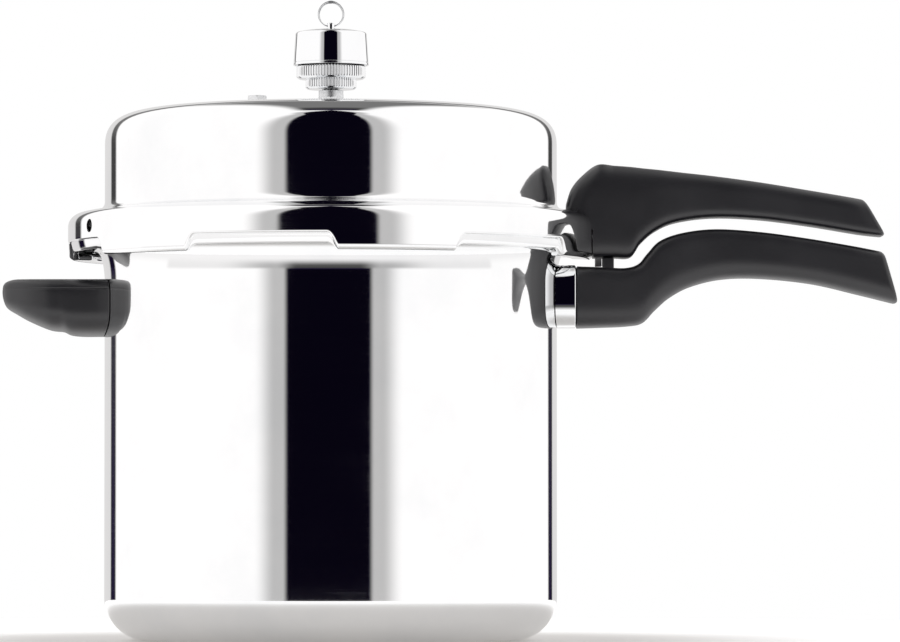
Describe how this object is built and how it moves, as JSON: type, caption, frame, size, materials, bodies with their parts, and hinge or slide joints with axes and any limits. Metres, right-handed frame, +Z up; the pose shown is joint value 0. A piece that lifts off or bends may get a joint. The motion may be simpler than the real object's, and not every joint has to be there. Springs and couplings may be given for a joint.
{
  "type": "stovetop pressure cooker",
  "caption": "Aluminium pressure cooker with an outer bayonet lid, long black handles, a side handle and a lift-off pressure weight.",
  "frame": {"origin": "centre of the pan's underside, on the surface that the cooker stands on", "axes": "+Z up along the pan's axis, +X towards the two long handles, +Y to the left of the long handles seen from the pan"},
  "size_m": [0.4353, 0.2556, 0.3117],
  "materials": {
    "polished_aluminium": "mirror polished aluminium",
    "bright_chrome": "bright chrome plating",
    "plain_steel": "plain bright steel",
    "plain_brass": "turned brass",
    "black_resin": "black phenolic resin, fine satin",
    "seal_rubber": "moulded rubber",
    "fusible_alloy": "dull low-melting alloy"
  },
  "bodies": {
    "pan": {"pan_shell": "polished_aluminium", "pan_handle_rivet_1": "plain_steel", "pan_handle_rivet_2": "plain_steel", "pan_handle_rivet_3": "plain_steel", "side_handle_rivet_1": "plain_steel", "side_handle_rivet_2": "plain_steel", "pan_handle_bracket": "plain_steel", "pan_handle_ferrule": "bright_chrome", "pan_handle_grip": "black_resin", "pan_handle_screw": "plain_steel", "pan_handle_nut": "plain_steel", "side_handle_bracket": "plain_steel", "side_handle_grip": "black_resin", "side_handle_screw": "plain_steel", "side_handle_nut": "plain_steel"},
    "seal": {"sealing_ring": "seal_rubber"},
    "lid": {"lid_shell": "polished_aluminium", "lid_handle_bracket": "plain_steel", "lid_handle_rivet_1": "plain_steel", "lid_handle_rivet_2": "plain_steel", "lid_handle_grip": "black_resin", "lid_handle_screw": "plain_steel", "lid_handle_nut": "plain_steel", "vent_pipe": "bright_chrome", "vent_pipe_washer": "seal_rubber", "vent_pipe_nut": "plain_brass", "safety_plug_body": "bright_chrome", "safety_plug_core": "fusible_alloy", "safety_plug_washer": "seal_rubber", "safety_plug_nut": "plain_brass"},
    "weight": {"weight_core": "bright_chrome", "weight_cap": "bright_chrome", "weight_post": "bright_chrome", "weight_spring_clip": "plain_steel", "weight_pin": "plain_steel"},
    "ring": {"lifting_ring": "bright_chrome"}
  },
  "joints": [
    {"name": "lid_lift", "type": "slide", "parent": "pan", "child": "seal", "axis": [0, 0, 1], "range_m": [0, 0.1]},
    {"name": "lid_turn", "type": "hinge", "parent": "seal", "child": "lid", "pos_m": [0, 0, 0.2], "axis": [0, 0, 1], "range_deg": [0, 30]},
    {"name": "weight_lift", "type": "slide", "parent": "lid", "child": "weight", "axis": [0, 0, 1], "range_m": [0, 0.03]},
    {"name": "ring_swing", "type": "hinge", "parent": "weight", "child": "ring", "pos_m": [0, 0, 0.2989], "axis": [1, 0, 0], "range_deg": [-78, 78]}
  ]
}
